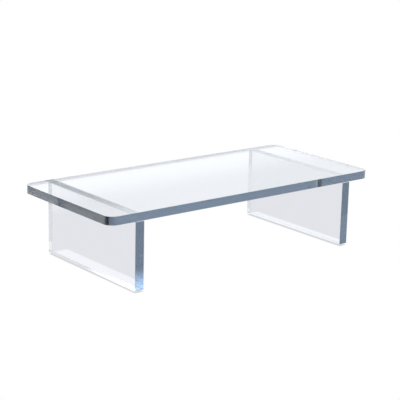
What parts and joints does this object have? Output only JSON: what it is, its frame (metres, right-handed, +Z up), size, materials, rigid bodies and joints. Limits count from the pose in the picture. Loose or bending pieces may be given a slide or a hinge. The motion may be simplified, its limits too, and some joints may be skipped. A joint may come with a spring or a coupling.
{
  "type": "monitor riser stand",
  "caption": "Clear acrylic monitor riser: flat top with rounded corners bonded onto upright end panels, open from front to back underneath, on small clear bumper feet.",
  "frame": {"origin": "on the desk at the centre of the footprint, level with the bumper feet's flat undersides", "axes": "+X along the top's long side, to the right seen from the front; -Y towards the front; +Z up"},
  "size_m": [0.508, 0.2286, 0.1182],
  "materials": {
    "clear_acrylic": "polished",
    "cement": "gloss",
    "clear_bumper": "satin"
  },
  "bodies": {
    "root": {"top_plate": "clear_acrylic", "left_leg": "clear_acrylic", "right_leg": "clear_acrylic", "left_bond_line": "cement", "right_bond_line": "cement", "left_front_foot": "clear_bumper", "left_rear_foot": "clear_bumper", "right_front_foot": "clear_bumper", "right_rear_foot": "clear_bumper"}
  },
  "joints": []
}
